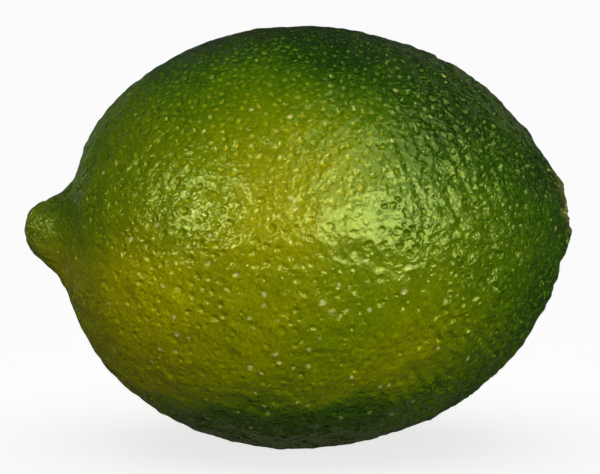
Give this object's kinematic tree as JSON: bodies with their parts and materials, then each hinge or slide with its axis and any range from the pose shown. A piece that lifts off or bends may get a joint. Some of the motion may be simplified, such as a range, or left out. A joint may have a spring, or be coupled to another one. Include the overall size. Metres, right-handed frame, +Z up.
{
  "type": "lime",
  "caption": "Whole Persian lime lying on its side, with a blunt nipple at one end and its dry calyx at the other.",
  "frame": {"origin": "middle of the bottom of the object's box, on the surface that the lime rests on", "axes": "+X along the fruit's long axis towards the stem end, which rises 1.7 degrees; +Z up; the nipple points to -X"},
  "size_m": [0.0664, 0.0514, 0.0509],
  "materials": {
    "rind": "waxy rind, pitted with oil glands, semi-gloss",
    "dry_calyx": "dry, wrinkled, matt"
  },
  "bodies": {
    "root": {"fruit": "rind", "calyx": "dry_calyx"}
  },
  "joints": []
}
